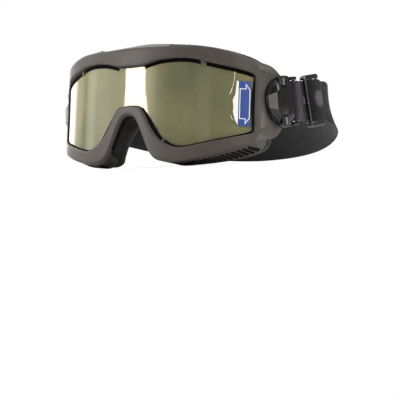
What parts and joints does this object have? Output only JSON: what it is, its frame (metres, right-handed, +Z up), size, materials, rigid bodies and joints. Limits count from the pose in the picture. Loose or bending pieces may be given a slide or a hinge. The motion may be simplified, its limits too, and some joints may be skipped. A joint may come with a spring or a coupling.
{
  "type": "airsoft goggles",
  "caption": "Airsoft goggles with a curved double lens, vented soft frame, face foam, swivelling quick-release strap clips and an adjustable elastic strap.",
  "frame": {"origin": "bottom centre of the bounding box, on the surface that the goggles stand on", "axes": "+X is the wearer's left, -Y is where the lens looks, +Z is up"},
  "size_m": [0.2254, 0.2062, 0.0929],
  "materials": {
    "frame_rubber": "matte warm grey",
    "lens_outer": "olive tinted polycarbonate",
    "lens_inner": "tinted, anti-fog",
    "spacer_foam": "black foam",
    "film": "clear film",
    "label": "blue with a plain white arrow",
    "face_foam": "soft closed-cell foam",
    "lining": "brushed cloth",
    "shield": "thin black rubber",
    "filter_foam": "open-cell foam",
    "post_plastic": "satin",
    "clip_plastic": "gloss black",
    "tab_plastic": "satin grey, ribbed",
    "steel": "plated",
    "webbing": "charcoal elastic webbing",
    "slider_plastic": "gloss black"
  },
  "bodies": {
    "goggles": {"frame": "frame_rubber", "lens_outer": "lens_outer", "lens_spacer": "spacer_foam", "lens_inner": "lens_inner", "lens_film": "film", "film_tab": "label", "face_foam": "face_foam", "foam_lining": "lining", "nose_shield": "shield", "vent_filter_top_left": "filter_foam", "vent_filter_top_right": "filter_foam", "vent_filter_bottom_left": "filter_foam", "vent_filter_bottom_right": "filter_foam", "pivot_post_left": "post_plastic", "pivot_post_right": "post_plastic", "strap": "webbing"},
    "clip_left": {"clip_base_left": "clip_plastic", "clip_cover_left": "clip_plastic", "clip_screws_left": "steel", "tab_spring_left": "steel", "strap_tail_left": "webbing"},
    "slider_left": {"slider_left": "slider_plastic", "slider_fold_left": "webbing"},
    "tab_upper_left": {"release_tab_upper_left": "tab_plastic"},
    "tab_lower_left": {"release_tab_lower_left": "tab_plastic"},
    "clip_right": {"clip_base_right": "clip_plastic", "clip_cover_right": "clip_plastic", "clip_screws_right": "steel", "tab_spring_right": "steel", "strap_tail_right": "webbing"},
    "slider_right": {"slider_right": "slider_plastic", "slider_fold_right": "webbing"},
    "tab_upper_right": {"release_tab_upper_right": "tab_plastic"},
    "tab_lower_right": {"release_tab_lower_right": "tab_plastic"}
  },
  "joints": [
    {"name": "clip_swivel_left", "type": "hinge", "parent": "goggles", "child": "clip_left", "pos_m": [0.09447, -0.03233, 0.04476], "axis": [0.9453, -0.323, 0.046], "range_deg": [-30, 30], "deforming": ["strap"]},
    {"name": "slider_slide_left", "type": "slide", "parent": "clip_left", "child": "slider_left", "axis": [0.2391, 0.9709, 0.0105], "range_m": [-0.0025, 0.0035]},
    {"name": "release_tab_upper_left", "type": "slide", "parent": "clip_left", "child": "tab_upper_left", "axis": [0.0482, -0.001, -0.9988], "range_m": [0, 0.0012], "stiffness_N_per_m": 300, "springref_m": -0.002, "deforming": ["tab_spring_left"]},
    {"name": "release_tab_lower_left", "type": "slide", "parent": "clip_left", "child": "tab_lower_left", "axis": [-0.0482, 0.001, 0.9988], "range_m": [0, 0.0012], "stiffness_N_per_m": 300, "springref_m": -0.002, "deforming": ["tab_spring_left"]},
    {"name": "clip_swivel_right", "type": "hinge", "parent": "goggles", "child": "clip_right", "pos_m": [-0.09447, -0.03233, 0.04476], "axis": [0.9453, 0.323, -0.046], "range_deg": [-30, 30], "deforming": ["strap"]},
    {"name": "slider_slide_right", "type": "slide", "parent": "clip_right", "child": "slider_right", "axis": [-0.2391, 0.9709, 0.0105], "range_m": [-0.0025, 0.0035]},
    {"name": "release_tab_upper_right", "type": "slide", "parent": "clip_right", "child": "tab_upper_right", "axis": [-0.0482, -0.001, -0.9988], "range_m": [0, 0.0012], "stiffness_N_per_m": 300, "springref_m": -0.002, "deforming": ["tab_spring_right"]},
    {"name": "release_tab_lower_right", "type": "slide", "parent": "clip_right", "child": "tab_lower_right", "axis": [0.0482, 0.001, 0.9988], "range_m": [0, 0.0012], "stiffness_N_per_m": 300, "springref_m": -0.002, "deforming": ["tab_spring_right"]}
  ]
}
